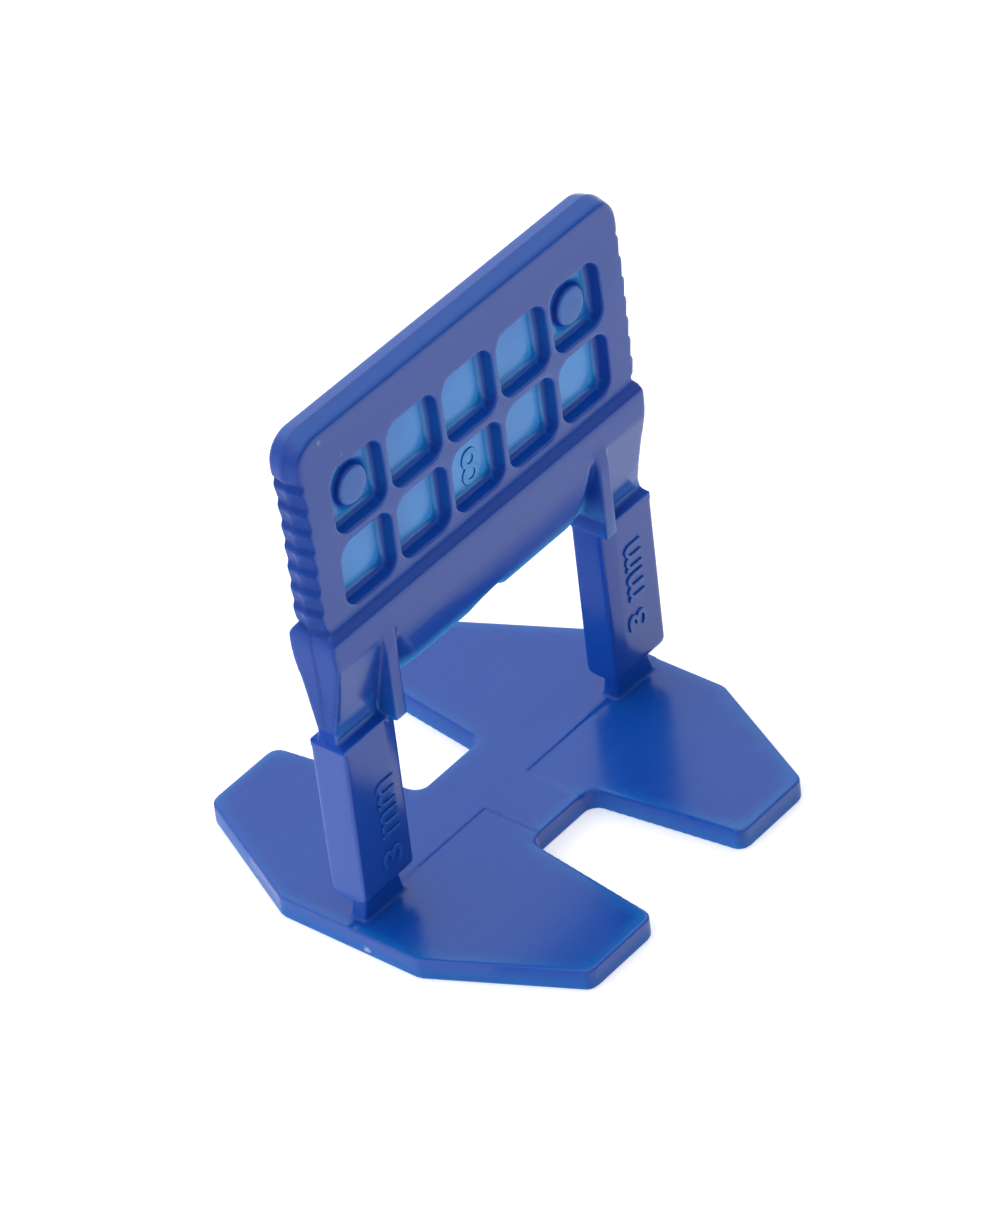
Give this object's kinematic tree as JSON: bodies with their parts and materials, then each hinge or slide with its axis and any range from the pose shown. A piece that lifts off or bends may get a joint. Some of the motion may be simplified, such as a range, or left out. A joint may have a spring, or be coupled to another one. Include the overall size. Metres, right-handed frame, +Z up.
{
  "type": "tile levelling clip",
  "caption": "Moulded tile levelling clip and joint spacer: notched base plate, break-off legs, ribbed cross bar and a grip plate with pockets and toothed edges.",
  "frame": {"origin": "centre of the underside of the base plate", "axes": "+X runs along the tile joint in the plane of the legs and the grip plate, +Y runs across the joint towards the back, +Z points up to the top edge of the grip plate"},
  "size_m": [0.034, 0.0332, 0.0421],
  "materials": {
    "blue_plastic": "slightly translucent blue polypropylene with a satin moulded surface"
  },
  "bodies": {
    "root": {"levelling_clip": "blue_plastic"}
  },
  "joints": []
}
